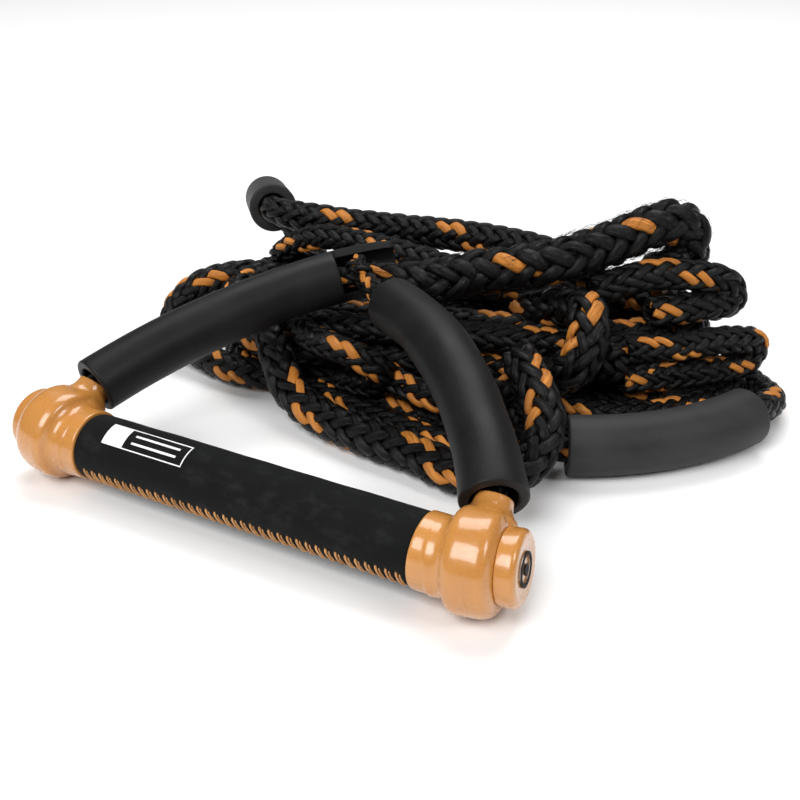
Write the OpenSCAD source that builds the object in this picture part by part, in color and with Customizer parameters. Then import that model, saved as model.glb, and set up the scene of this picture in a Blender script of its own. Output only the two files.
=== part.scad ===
// Tow rope handle: a padded grip bar on a short rope bridle in foam sleeves, and its braided tow rope
// lying in a heap behind it. X runs along the bar to the right, Y away from the user, Z up. The origin
// is the centre of the grip, and the floor that everything lies on is floor_z below it.

/* [Grip bar] */
// Diameter over the grip skin
grip_d = 32; // [30:0.5:34]
// Length of the grip between the caps
grip_length = 180; // [170:1:180]
// Diameter of the metal tube inside
tube_d = 22; // [20:0.5:22]
// Wall of the metal tube
tube_wall = 2; // [1.5:0.1:3]
// Thickness of the grip skin
skin_thickness = 1.5; // [1:0.1:2]

/* [Seam and badge] */
// Spacing of the seam stitches along the bar
stitch_pitch = 4.85; // [4:0.05:6]
// Thickness of the seam thread
stitch_thread = 1.1; // [0.8:0.1:1.4]
// Length of the printed patch along the bar
badge_length = 47; // [30:1:50]

/* [End caps] */
// Diameter of the collar next to the grip
collar_d = 34; // [33:0.5:35]
// Largest diameter of the cap
bulb_d = 45.4; // [45:0.2:46]
// Angle that the outer part of the cap is bent towards the bridle
cap_bend = 8; // [6:0.5:9]
// Diameter of the outer disc
disc_d = 32.6; // [31:0.2:33]
// Diameter of the neck at its mouth
neck_d = 16; // [15:0.5:17]

/* [Bridle] */
// Diameter of the bridle rope
bridle_d = 12; // [11:0.5:12]
// Outer diameter of the foam sleeves
sleeve_d = 29; // [27:0.5:29]
// Inner diameter of the foam sleeves
sleeve_bore_d = 20; // [19:0.5:21]

/* [Tow rope] */
// Diameter of the plain rope
rope_d = 18; // [16:0.5:19]
// Diameter of the thick plaited section next to the bridle
grip_rope_d = 25; // [22:0.5:26]
// Outer diameter of the foam floats
float_d = 31; // [28:0.5:32]
// Height of the wound rope in the middle of the heap
hank_height = 52; // [45:1:53]

/* [Hidden] */
$fn = 64;
TUBE_SIDES = 10;

// Grip bar
grip_r = grip_d / 2;
half_grip = grip_length / 2;
tube_length = grip_length + 18;
foam_r = grip_r - skin_thickness;

// Seam: where round the bar it runs, and the slant of its stitches
seam_angle = -150;
seam_shift = 1.2;
stitch_sweep = 37;
stitch_slant = 10;
stitch_count = floor((grip_length - 4) / stitch_pitch);

// Badge: where it starts along the bar and how far it reaches round it
badge_start = -half_grip + 15;
badge_from = 182;
badge_sweep = 43;
badge_thickness = 0.25;

// Caps: all of these are measured along the bent outer axis from where it leaves the bar's axis
collar_length = 12;
bend_at = half_grip + 10;
bulb_rise = 3;
bulb_from = 8;
bulb_to = 20;
bulb_end = 25.5;
disc_to = 34;
disc_edge = 3;
bulb_r = bulb_d / 2;
bulb_mid = (bulb_from + bulb_to) / 2;
spigot_r = 12.9;
spigot_from = 23;
spigot_hollow_r = 10.8;
spigot_hollow_to = 24.6;

// Neck: points along the bridle's side of the cap, seen in the YZ plane
lean = [0, 0.8, 0.6];
cap_rise = sin(cap_bend) * lean.z;
floor_z = bulb_from * cap_rise - bulb_r * sqrt(1 - cap_rise * cap_rise);
neck_dir = unit([-0.12, 0.79, 0.6]);
neck_length = 27;
neck_base_r = 11.5;
neck_r = neck_d / 2;
neck_bore_r = 6.4;
bridle_r = bridle_d / 2;
knot_r = 10;
cavity_r = 11.5;
washer_thickness = 1.6;
washer_r = 8.4;
bulb_centre = [bend_at, 0, 0] + bulb_mid * (cos(cap_bend) * [1, 0, 0] + sin(cap_bend) * lean);
neck_mouth = bulb_centre + neck_length * neck_dir;

// Sleeves: each is an arc through its mouth, its middle and its far end
left_sleeve_arc = [mirror_x(neck_mouth), [-83, 84, 35], [-38, 140, 51]];
right_sleeve_arc = [neck_mouth, [70.4, 73.5, 39.5], [4, 126, 48]];
leg_gap = 4;
left_leg_reach = 12;
right_leg_reach = 28;
scoop_length = 32;
scoop_side = [0.43, -0.78, 0.45];
scoop_rise = 1;
sleeve_bore_r = sleeve_bore_d / 2;
yoke_at = [-26.5, 147, 53.5];
yoke_r = 7.6;
yoke_lead_r = 5.5;

// Routes of the rope that lies free, each from end to end. Heights are above the floor.
grip_rope_route = [[12, 158, 74], [28, 170, 77], [48, 180, 80], [69, 190, 85], [80, 202, 88],
    [92, 214, 92], [103, 227, 97], [115, 239, 100], [121.3, 246.6, 95.9], [124, 249.8, 86],
    [121.3, 246.6, 76.1], [115, 239, 72], [108, 231, 70]];
top_run_route = [[-136.3, 221, 74.5], [-120, 222, 73], [-98, 228, 71], [-54, 234, 71], [-17, 235, 73],
    [31, 230, 75], [68, 222, 72], [82, 226, 60], [88, 232, 48]];
front_run_route = [[-92, 140, 34], [-74, 126, 34], [-60, 112, 28], [-46, 102, 18], [-22, 94, 12],
    [10, 88, 11], [42, 84, 11], [68, 78, 11], [88, 80, 13], [100, 90, 21], [100, 106, 32], [88, 122, 42],
    [72, 138, 50]];
left_loop_route = [[-106, 198, 38], [-123, 188, 44], [-139, 172, 45], [-151, 155, 41], [-156, 139, 29],
    [-146, 130, 17], [-127, 127, 11], [-104, 123, 10], [-84, 124, 10], [-66, 130, 11]];
inner_loop_route = [[-62, 134, 42], [-40, 118, 44], [-14, 114, 42], [2, 120, 33], [-6, 126, 21],
    [-32, 132, 16]];
right_loop_route = [[88, 200, 68], [112, 216, 76], [134, 234, 74], [149, 246, 67], [151, 247, 59],
    [137, 230, 58], [116, 211, 57]];
fold_loop_route = [[48, 200, 48], [64, 194, 56], [77, 189, 61], [88, 183, 64], [95, 172, 64],
    [99, 162, 55], [97, 156, 44], [87, 160, 34], [72, 168, 27], [54, 178, 25]];
low_run_route = [[62, 164, 18], [98, 168, 12], [126, 184, 9], [149, 212, 9], [160, 240, 9], [142, 256, 10]];
float_lead_route = [[97, 115, 15.5], [86, 113, 11], [86, 126, 9], [74, 142, 9], [56, 160, 11]];
float_tail_route = [[181, 208, 15.5], [184, 228, 12], [174, 248, 9], [156, 260, 9], [134, 262, 10]];
tow_eye_route = [[112, 188, 43], [134, 206, 42], [155, 227, 43], [168, 244, 37], [166, 243, 27],
    [148, 218, 26], [113, 184, 27]];
rear_run_route = [[-195.6, 293, 57], [-199, 305, 48], [-193, 315, 32], [-172, 314, 14], [-146, 296, 10],
    [-120, 272, 10], [-92, 248, 14]];
back_run_route = [[-124, 206, 50], [-108, 204, 62], [-88, 202, 70], [-60, 204, 70], [-30, 206, 67],
    [0, 208, 62], [30, 210, 55]];
inner_fill_route = [[-58, 152, 10], [-66, 138, 9], [-52, 126, 9], [-22, 116, 9], [12, 109, 9],
    [44, 104, 9], [70, 105, 9], [81, 118, 9], [66, 130, 10], [36, 126, 9], [6, 129, 9], [-22, 136, 9],
    [-40, 150, 12]];
under_run_route = [[-46, 152, 28], [-20, 136, 27], [10, 124, 26], [38, 118, 26], [60, 122, 29],
    [72, 138, 36]];
fold_loop_d = 22;
front_run_d = 21;
top_run_d = 20;
thin_run_d = 16;

// Floats: the front one is an arc on the floor, the rear one a straight tube behind the heap
float_r = float_d / 2;
float_core_r = rope_d / 2 - 0.5;
float_bore_r = float_core_r + 0.8;
front_float_arc = [[106, 122, floor_z + float_r], [147, 151, floor_z + float_r], [177, 197, floor_z + float_r]];
core_reach = 12;
rear_float_from = at_height([-144, 230, 72.5]);
rear_float_to = at_height([-188, 284, 59.5]);

// Hank: the wound length of the rope, in the middle of the heap
hank_at = [5, 205];
hank_turn = 17;
hank_straight = 180;
hank_r = 55;

// Throat of the tow eye
splice_from = at_height([114, 187, 35]);
splice_to = at_height([90, 180, 35]);
splice_r = 13;

// Vectors and frames
function unit(v) = v / norm(v);
function mirror_x(p) = [-p.x, p.y, p.z];
function at_height(p) = [p.x, p.y, floor_z + p.z];
function lifted(route) = [for (p = route) at_height(p)];
function frame(o, u, v, w) = [[u.x, v.x, w.x, o.x], [u.y, v.y, w.y, o.y], [u.z, v.z, w.z, o.z], [0, 0, 0, 1]];
function side_of(w) = unit(cross(abs(w.x) > 0.9 ? [0, 1, 0] : [1, 0, 0], w));

// Places children drawn along +Z so that they run along direction w from point o
module along(o, w) {
    u = side_of(w);
    multmatrix(frame(o, u, cross(w, u), w)) children();
}

module rod(a, b, r) {
    along(a, unit(b - a)) cylinder(h = norm(b - a), r = r);
}

// Circle through three points
function arc_centre(p) = let (b = p[1] - p[0], c = p[2] - p[0], w = cross(b, c))
    p[0] + (cross(w, b) * (c * c) + cross(c, w) * (b * b)) / (2 * (w * w));
function arc_radius(p) = norm(p[0] - arc_centre(p));
function arc_u(p) = unit(p[0] - arc_centre(p));
function arc_w(p) = unit(cross(p[1] - p[0], p[2] - p[0]));
function arc_angle(p) = let (q = p[2] - arc_centre(p), u = arc_u(p), v = cross(arc_w(p), u))
    atan2(q * v, q * u);

// Sweeps the children's flat profile along that circle, from "before" mm ahead of the first point
// to "after" mm past the last one
module along_arc(p, before = 0, after = 0) {
    radius = arc_radius(p);
    per_mm = 180 / (PI * radius);
    u = arc_u(p);
    w = arc_w(p);
    multmatrix(frame(arc_centre(p), u, cross(w, u), w))
        rotate([0, 0, -before * per_mm])
            rotate_extrude(angle = arc_angle(p) + (before + after) * per_mm, $fn = 96)
                translate([radius, 0]) children();
}

// Sweeps a round section through the points of a route
function tangent(p, i) = unit(p[min(i + 1, len(p) - 1)] - p[max(i - 1, 0)]);
function carried(u, t) = unit(u - (u * t) * t);
function sides(p, i) = i == 0 ? [side_of(tangent(p, 0))]
    : let (before = sides(p, i - 1)) concat(before, [carried(before[i - 1], tangent(p, i))]);
function ring(o, t, u, r) = [for (k = [0:TUBE_SIDES - 1])
    let (a = 360 * k / TUBE_SIDES) o + r * (cos(a) * u + sin(a) * cross(t, u))];

module tube_along(route, d) {
    last = len(route) - 1;
    side = sides(route, last);
    points = [for (i = [0:last]) each ring(route[i], tangent(route, i), side[i], d / 2)];
    faces = [
        [for (k = [TUBE_SIDES - 1:-1:0]) k],
        for (i = [0:last - 1], k = [0:TUBE_SIDES - 1])
            let (a = i * TUBE_SIDES + k, b = i * TUBE_SIDES + (k + 1) % TUBE_SIDES)
                each [[a, b, b + TUBE_SIDES], [a, b + TUBE_SIDES, a + TUBE_SIDES]],
        [for (k = [0:TUBE_SIDES - 1]) last * TUBE_SIDES + k]
    ];
    polyhedron(points, [for (f = faces) [for (k = [len(f) - 1:-1:0]) f[k]]]);
}

// Grip bar
module bar_tube() {
    color("silver") rotate([0, 90, 0])
        difference() {
            cylinder(h = tube_length, d = tube_d, center = true);
            cylinder(h = tube_length + 2, d = tube_d - 2 * tube_wall, center = true);
        }
}

module bar_ring(outer, inner, length) {
    rotate([0, 90, 0])
        difference() {
            cylinder(h = length, r = outer, center = true);
            cylinder(h = length + 2, r = inner, center = true);
        }
}

module bar_foam_core() {
    color("dimgray") bar_ring(foam_r, tube_d / 2, grip_length);
}

module grip_wrap() {
    color("#17181a") bar_ring(grip_r, foam_r, grip_length);
}

// One stitch, bent round the grip in the YZ plane
module stitch() {
    rotate([0, 90, 0])
        rotate([0, 0, 90 - stitch_sweep / 2])
            rotate_extrude(angle = stitch_sweep, $fn = 96)
                translate([grip_r + stitch_thread / 4, 0]) circle(d = stitch_thread, $fn = 16);
}

module seam_stitches() {
    first = seam_shift - (stitch_count - 1) / 2 * stitch_pitch;
    color("#d08a3c")
        rotate([seam_angle, 0, 0])
            for (i = [0:stitch_count - 1])
                translate([first + i * stitch_pitch, 0, 0])
                    rotate([0, stitch_slant, 0]) stitch();
}

module grip_badge() {
    color("white") rotate([0, 90, 0])
        rotate([0, 0, badge_from])
            rotate_extrude(angle = badge_sweep)
                translate([grip_r, badge_start]) square([badge_thickness, badge_length]);
}

// End caps, drawn for the right end. The left one is its mirror image.
module bent_axis() {
    along([bend_at, 0, 0], cos(cap_bend) * [1, 0, 0] + sin(cap_bend) * lean) children();
}

module bulb_outline() {
    polygon([
        [0, -4], [collar_d / 2, -4], [collar_d / 2, 1],
        for (a = [0:15:90]) [collar_d / 2 + bulb_rise * (1 - cos(a)), 1 + bulb_rise * sin(a)],
        for (a = [15:15:90]) [collar_d / 2 + bulb_rise + (bulb_r - collar_d / 2 - bulb_rise) * sin(a),
            bulb_from - (bulb_from - 1 - bulb_rise) * cos(a)],
        for (a = [0:15:90]) [bulb_r - (bulb_r - disc_d / 2 - 1) * (1 - cos(a)),
            bulb_to + (bulb_end - bulb_to) * sin(a)],
        [0, bulb_end]
    ]);
}

module cap() {
    difference() {
        union() {
            translate([half_grip, 0, 0]) rotate([0, 90, 0]) cylinder(h = collar_length, d = collar_d);
            bent_axis() rotate_extrude() bulb_outline();
            rod(bulb_centre, neck_mouth, neck_r);
            along(bulb_centre, neck_dir) rotate_extrude() neck_flare();
        }
        rotate([0, 90, 0]) cylinder(h = tube_length / 2, d = tube_d);
        rod(bulb_centre - 12 * neck_dir, bulb_centre + 12 * neck_dir, cavity_r);
        rod(bulb_centre, neck_mouth + neck_dir, neck_bore_r);
        bent_axis() translate([0, 0, bulb_mid]) cylinder(h = bulb_end, r = spigot_r);
        bent_axis() translate([0, 0, bulb_end]) cylinder(h = bulb_end, d = disc_d + 0.4);
    }
}

// Concave flare where the neck grows out of the cap
module neck_flare() {
    flare_from = 19;
    flare_to = 25;
    polygon([
        [0, 12], [neck_base_r, 12], [neck_base_r, flare_from],
        for (a = [0:15:90]) [neck_base_r - (neck_base_r - neck_r + 0.2) * sin(a),
            flare_to - (flare_to - flare_from) * cos(a)],
        [0, flare_to]
    ]);
}

module cap_right() {
    color("#dc9a54") cap();
}

module cap_left() {
    color("#dc9a54") mirror([1, 0, 0]) cap();
}

module plug() {
    disc_r = disc_d / 2;
    bent_axis()
        rotate_extrude()
            polygon([
                [0, spigot_hollow_to], [spigot_hollow_r, spigot_hollow_to], [spigot_hollow_r, spigot_from],
                [spigot_r, spigot_from], [spigot_r, bulb_end], [disc_r, bulb_end],
                for (a = [0:15:90]) [disc_r - disc_edge * (1 - cos(a)), disc_to - disc_edge * (1 - sin(a))],
                [0, disc_to]
            ]);
}

module plug_right() {
    color("#dc9a54") plug();
}

module plug_left() {
    color("#dc9a54") mirror([1, 0, 0]) plug();
}

// A plain ring round a dot, set on the disc
module emblem() {
    bent_axis()
        translate([0, 0, disc_to]) {
            difference() {
                cylinder(h = 0.4, r = 7.5);
                translate([0, 0, -1]) cylinder(h = 2, r = 5.9);
            }
            cylinder(h = 0.4, r = 2.6);
        }
}

module emblem_right() {
    color("#141414") emblem();
}

module emblem_left() {
    color("#141414") mirror([1, 0, 0]) emblem();
}

// Bridle rope inside the caps: a stopper knot, the washer it pulls against, and the rope up the neck
module knot() {
    translate(bulb_centre) sphere(r = knot_r);
}

module knot_washer() {
    inner = bulb_centre + (12 - washer_thickness) * neck_dir;
    difference() {
        rod(inner, bulb_centre + 12 * neck_dir, washer_r);
        rod(inner - neck_dir, bulb_centre + 14 * neck_dir, bridle_r + 0.1);
    }
}

module stub() {
    difference() {
        rod(bulb_centre, neck_mouth, bridle_r);
        knot();
    }
}

module bridle_knot_right() {
    color("#1b1b1d") knot();
}

module bridle_knot_left() {
    color("#1b1b1d") mirror([1, 0, 0]) knot();
}

module knot_washer_right() {
    color("silver") knot_washer();
}

module knot_washer_left() {
    color("silver") mirror([1, 0, 0]) knot_washer();
}

module bridle_stub_right() {
    color("#1b1b1d") stub();
}

module bridle_stub_left() {
    color("#1b1b1d") mirror([1, 0, 0]) stub();
}

// Bridle legs in their sleeves
module bridle_leg_left() {
    color("#1b1b1d") along_arc(left_sleeve_arc, -leg_gap, left_leg_reach) circle(r = bridle_r);
}

module bridle_leg_right() {
    color("#1b1b1d") along_arc(right_sleeve_arc, -leg_gap, right_leg_reach) circle(r = bridle_r);
}

module sleeve_ring() {
    difference() {
        circle(d = sleeve_d);
        circle(r = sleeve_bore_r);
    }
}

// The left sleeve ends in a scoop: its near side is cut away obliquely past the arc's end
module sleeve_left() {
    end = left_sleeve_arc[2];
    onward = unit(end - left_sleeve_arc[1]);
    near = unit(scoop_side - (scoop_side * onward) * onward);
    color("#232325")
        difference() {
            along_arc(left_sleeve_arc, 0, scoop_length) sleeve_ring();
            along(end + sleeve_d / 2 * near, unit(near + scoop_rise * onward)) scoop_cutter();
        }
}

module scoop_cutter() {
    translate([-60, -60, 0]) cube([120, 120, 60]);
}

module sleeve_right() {
    color("#232325") along_arc(right_sleeve_arc) sleeve_ring();
}

module yoke_outline(reach) {
    polygon([
        [0, -yoke_r],
        for (a = [-75:15:45]) yoke_r * [cos(a), sin(a)],
        [yoke_lead_r, yoke_r * 0.72], [yoke_lead_r, reach], [0, reach]
    ]);
}

module yoke_knot() {
    reach = at_height(grip_rope_route[0]) - yoke_at;
    color("#1b1b1d") along(yoke_at, unit(reach)) rotate_extrude() yoke_outline(norm(reach));
}

// Free rope
module grip_rope() {
    color("#1b1b1d") tube_along(lifted(grip_rope_route), grip_rope_d);
}

module top_run() {
    color("#1b1b1d") tube_along(lifted(top_run_route), top_run_d);
}

module back_run() {
    color("#1b1b1d") tube_along(lifted(back_run_route), thin_run_d);
}

module inner_fill() {
    color("#1b1b1d") tube_along(lifted(inner_fill_route), thin_run_d);
}

module under_run() {
    color("#1b1b1d") tube_along(lifted(under_run_route), thin_run_d);
}

module front_run() {
    color("#1b1b1d") tube_along(lifted(front_run_route), front_run_d);
}

module left_loop() {
    color("#1b1b1d") tube_along(lifted(left_loop_route), rope_d);
}

module inner_loop() {
    color("#1b1b1d") tube_along(lifted(inner_loop_route), thin_run_d);
}

module right_loop() {
    color("#1b1b1d") tube_along(lifted(right_loop_route), rope_d);
}

module fold_loop() {
    color("#1b1b1d") tube_along(lifted(fold_loop_route), fold_loop_d);
}

module low_run() {
    color("#1b1b1d") tube_along(lifted(low_run_route), thin_run_d);
}

module float_lead() {
    color("#1b1b1d") tube_along(lifted(float_lead_route), 2 * float_core_r);
}

module float_tail() {
    color("#1b1b1d") tube_along(lifted(float_tail_route), 2 * float_core_r);
}

module rear_run() {
    color("#1b1b1d") tube_along(lifted(rear_run_route), rope_d);
}

module rope_hank() {
    color("#1b1b1d")
        translate([hank_at.x, hank_at.y, floor_z])
            rotate([0, 0, hank_turn])
                linear_extrude(hank_height) {
                    square([hank_straight, 2 * hank_r], center = true);
                    for (side = [-1, 1]) translate([side * hank_straight / 2, 0]) circle(r = hank_r);
                }
}

module tow_eye() {
    color("#1b1b1d") tube_along(lifted(tow_eye_route), thin_run_d);
}

module eye_splice() {
    color("#1b1b1d") rod(splice_from, splice_to, splice_r);
}

// Floats and the rope inside them
module float_ring() {
    difference() {
        circle(r = float_r);
        circle(r = float_bore_r);
    }
}

module float_front() {
    color("#2b2b2d") along_arc(front_float_arc) float_ring();
}

module float_core_front() {
    color("#1b1b1d") along_arc(front_float_arc, core_reach, core_reach) circle(r = float_core_r);
}

module float_rear() {
    run = rear_float_to - rear_float_from;
    color("#2b2b2d")
        difference() {
            rod(rear_float_from, rear_float_to, float_r);
            rod(rear_float_from - run, rear_float_to + run, float_bore_r);
        }
}

module float_core_rear() {
    run = unit(rear_float_to - rear_float_from);
    color("#1b1b1d")
        rod(rear_float_from - core_reach * run, rear_float_to + core_reach * run, float_core_r);
}

bar_tube();
bar_foam_core();
grip_wrap();
seam_stitches();
grip_badge();
cap_left();
cap_right();
plug_left();
plug_right();
emblem_left();
emblem_right();
bridle_knot_left();
bridle_knot_right();
knot_washer_left();
knot_washer_right();
bridle_stub_left();
bridle_stub_right();
bridle_leg_left();
bridle_leg_right();
sleeve_left();
sleeve_right();
yoke_knot();
grip_rope();
top_run();
back_run();
front_run();
left_loop();
inner_loop();
inner_fill();
under_run();
right_loop();
fold_loop();
low_run();
float_lead();
float_tail();
rear_run();
rope_hank();
tow_eye();
eye_splice();
float_front();
float_rear();
float_core_front();
float_core_rear();
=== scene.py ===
"""Tow rope handle: looks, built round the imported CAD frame. Metres, X along the bar, Z up."""
import math

import bpy
import numpy as np
from mathutils import Euler, Matrix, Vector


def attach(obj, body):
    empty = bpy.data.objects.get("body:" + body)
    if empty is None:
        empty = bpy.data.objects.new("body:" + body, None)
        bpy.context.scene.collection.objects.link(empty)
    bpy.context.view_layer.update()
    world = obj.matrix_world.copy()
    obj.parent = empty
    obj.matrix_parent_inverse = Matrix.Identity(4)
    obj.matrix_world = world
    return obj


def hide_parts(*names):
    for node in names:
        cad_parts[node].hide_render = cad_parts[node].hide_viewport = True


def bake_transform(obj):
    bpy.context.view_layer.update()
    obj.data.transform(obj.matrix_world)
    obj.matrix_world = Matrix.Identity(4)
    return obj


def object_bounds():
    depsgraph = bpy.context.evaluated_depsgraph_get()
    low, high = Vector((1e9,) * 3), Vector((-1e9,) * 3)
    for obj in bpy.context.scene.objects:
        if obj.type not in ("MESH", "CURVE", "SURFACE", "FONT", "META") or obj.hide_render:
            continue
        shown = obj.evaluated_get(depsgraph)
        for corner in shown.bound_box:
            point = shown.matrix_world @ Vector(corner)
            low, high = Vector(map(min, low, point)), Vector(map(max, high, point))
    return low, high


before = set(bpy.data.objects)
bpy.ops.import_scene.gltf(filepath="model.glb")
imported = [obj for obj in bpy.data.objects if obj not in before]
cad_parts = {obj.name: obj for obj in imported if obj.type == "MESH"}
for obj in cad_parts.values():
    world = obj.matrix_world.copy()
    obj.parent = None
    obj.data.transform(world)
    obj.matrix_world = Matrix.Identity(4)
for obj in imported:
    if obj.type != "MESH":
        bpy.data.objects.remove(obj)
CAD_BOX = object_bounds()
FLOOR = CAD_BOX[0][2]
MM = 0.001
RNG = np.random.default_rng(7)


# ---------------------------------------------------------------- camera
CAMERA_PLACE = (0.2571, -0.3221, 0.2542)
CAMERA_DOWN = 27
CAMERA_ROUND = 29
LENS = 47.7


def make_camera():
    data = bpy.data.cameras.new("camera")
    data.lens = LENS
    data.sensor_width = 36.0
    data.clip_start = 0.01
    data.clip_end = 20.0
    cam = bpy.data.objects.new("camera", data)
    bpy.context.collection.objects.link(cam)
    cam.location = CAMERA_PLACE
    cam.rotation_euler = Euler((math.radians(90 - CAMERA_DOWN), 0.0, math.radians(CAMERA_ROUND)))
    bpy.context.scene.camera = cam


make_camera()


# ---------------------------------------------------------------- vectors and paths
def unit(v):
    v = np.asarray(v, float)
    return v / np.linalg.norm(v, axis=-1, keepdims=True)


def resample(points, step):
    points = np.asarray(points, float)
    run = np.r_[0, np.cumsum(np.linalg.norm(np.diff(points, axis=0), axis=1))]
    count = max(int(round(run[-1] / step)), 2)
    at = np.linspace(0, run[-1], count + 1)
    return np.stack([np.interp(at, run, points[:, k]) for k in range(3)], axis=1)


def smooth_path(points, step):
    """A centripetal Catmull-Rom curve through the points, in even steps."""
    p = np.asarray(points, float)
    p = np.vstack([2 * p[0] - p[1], p, 2 * p[-1] - p[-2]])
    out = []
    for i in range(1, len(p) - 2):
        q = p[i - 1:i + 3]
        t = np.r_[0, np.cumsum(np.sqrt(np.linalg.norm(np.diff(q, axis=0), axis=1)))]
        u = np.linspace(t[1], t[2], 24, endpoint=False)[:, None]
        a = [((t[k + 1] - u) * q[k] + (u - t[k]) * q[k + 1]) / (t[k + 1] - t[k]) for k in range(3)]
        b = [((t[k + 2] - u) * a[k] + (u - t[k]) * a[k + 1]) / (t[k + 2] - t[k]) for k in range(2)]
        out.append(((t[2] - u) * b[0] + (u - t[1]) * b[1]) / (t[2] - t[1]))
    out.append(p[-2:-1])
    return resample(np.vstack(out), step)


def tangents(path):
    return unit(np.gradient(path, axis=0))


def frames(path):
    """Tangent and two side vectors at every point, carried along without twist."""
    t = tangents(path)
    u = np.empty_like(t)
    first = np.array([0.0, 0.0, 1.0]) if abs(t[0][2]) < 0.9 else np.array([1.0, 0.0, 0.0])
    u[0] = unit(first - first @ t[0] * t[0])
    for i in range(1, len(t)):
        w = u[i - 1] - u[i - 1] @ t[i] * t[i]
        u[i] = w / np.linalg.norm(w)
    return t, u, np.cross(t, u)


def on_floor(points):
    """Route points in millimetres, with heights above the floor, as metres in the row frame."""
    p = np.asarray(points, float) * MM
    p[:, 2] += FLOOR
    return p


def arc_path(three, before, after, step):
    """Points along the circle through three points, in metres, with its ends extended."""
    p = np.asarray(three, float)
    b, c = p[1] - p[0], p[2] - p[0]
    w = np.cross(b, c)
    o = p[0] + (np.cross(w, b) * (c @ c) + np.cross(c, w) * (b @ b)) / (2 * (w @ w))
    w = unit(w)
    u = unit(p[0] - o)
    v = np.cross(w, u)
    radius = np.linalg.norm(p[0] - o)
    angle = math.atan2((p[2] - o) @ v, (p[2] - o) @ u) % (2 * math.pi)
    lo, hi = -before / radius, angle + after / radius
    at = np.linspace(lo, hi, max(int((hi - lo) * radius / step), 4))[:, None]
    return o + radius * (np.cos(at) * u + np.sin(at) * v)


# ---------------------------------------------------------------- meshes
def make_mesh(name, verts, faces, materials, face_material=None, attributes=None):
    mesh = bpy.data.meshes.new(name)
    mesh.vertices.add(len(verts))
    mesh.vertices.foreach_set("co", np.asarray(verts, np.float32).ravel())
    if isinstance(faces, np.ndarray):
        per = faces.shape[1]
        flat = faces.ravel().astype(np.int32)
        starts = np.arange(0, len(flat), per, dtype=np.int32)
        totals = np.full(len(faces), per, np.int32)
    else:
        flat = np.concatenate([np.asarray(f, np.int32) for f in faces])
        totals = np.array([len(f) for f in faces], np.int32)
        starts = np.r_[0, np.cumsum(totals)[:-1]].astype(np.int32)
    mesh.loops.add(len(flat))
    mesh.loops.foreach_set("vertex_index", flat)
    mesh.polygons.add(len(totals))
    mesh.polygons.foreach_set("loop_start", starts)
    mesh.polygons.foreach_set("loop_total", totals)
    if face_material is not None:
        mesh.polygons.foreach_set("material_index", np.asarray(face_material, np.int32))
    mesh.polygons.foreach_set("use_smooth", np.full(len(totals), True))
    for m in materials:
        mesh.materials.append(m)
    for key, values in (attributes or {}).items():
        layer = mesh.attributes.new(key, "FLOAT", "POINT")
        layer.data.foreach_set("value", np.asarray(values, np.float32).ravel())
    mesh.update(calc_edges=True)
    mesh.validate()
    obj = bpy.data.objects.new(name, mesh)
    bpy.context.collection.objects.link(obj)
    return obj


def grid_faces(rings, sides, offset=0):
    """Quads of a tube of rings, each of that many sides."""
    i = np.arange(rings - 1)[:, None]
    k = np.arange(sides)[None, :]
    a = i * sides + k
    b = i * sides + (k + 1) % sides
    return (np.stack([a, b, b + sides, a + sides], axis=-1).reshape(-1, 4) + offset).astype(int)


def loop_faces(rings, sides, offset=0):
    """Quads of a tube whose last ring joins its first one."""
    last = offset + (rings - 1) * sides
    k = np.arange(sides)
    after = (k + 1) % sides
    closing = np.stack([last + k, last + after, offset + after, offset + k], axis=-1)
    return np.vstack([grid_faces(rings, sides, offset), closing])


def end_faces(rings, sides, offset=0):
    """The two faces that close a tube of rings."""
    last = offset + (rings - 1) * sides
    return [[offset + k for k in range(sides - 1, -1, -1)], [last + k for k in range(sides)]]


# ---------------------------------------------------------------- materials
def new_material(name):
    m = bpy.data.materials.new(name)
    m.use_nodes = True
    tree = m.node_tree
    return m, tree, tree.nodes["Principled BSDF"]


def node(tree, kind, **values):
    n = tree.nodes.new(kind)
    for key, value in values.items():
        setattr(n, key, value)
    return n


def ramp(tree, source, stops):
    n = tree.nodes.new("ShaderNodeValToRGB")
    while len(n.color_ramp.elements) < len(stops):
        n.color_ramp.elements.new(0.5)
    for e, (at, colour) in zip(n.color_ramp.elements, stops):
        e.position = at
        e.color = (*colour, 1)
    tree.links.new(source, n.inputs[0])
    return n


def grey(v):
    return (v, v, v)


def noise(tree, vector, scale, detail=4.0, rough=0.55):
    n = node(tree, "ShaderNodeTexNoise")
    n.inputs["Scale"].default_value = scale
    n.inputs["Detail"].default_value = detail
    n.inputs["Roughness"].default_value = rough
    tree.links.new(vector, n.inputs["Vector"])
    return n


def bump(tree, bsdf, height, strength, distance, normal=None):
    b = node(tree, "ShaderNodeBump")
    b.inputs["Strength"].default_value = strength
    b.inputs["Distance"].default_value = distance
    tree.links.new(height, b.inputs["Height"])
    if normal is not None:
        tree.links.new(normal, b.inputs["Normal"])
    if bsdf is not None:
        tree.links.new(b.outputs[0], bsdf.inputs["Normal"])
    return b


def math_node(tree, operation, a, b):
    n = node(tree, "ShaderNodeMath", operation=operation)
    for k, v in enumerate((a, b)):
        if isinstance(v, float):
            n.inputs[k].default_value = v
        else:
            tree.links.new(v, n.inputs[k])
    return n.outputs[0]


def attribute(tree, name):
    return node(tree, "ShaderNodeAttribute", attribute_name=name).outputs["Fac"]


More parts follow.
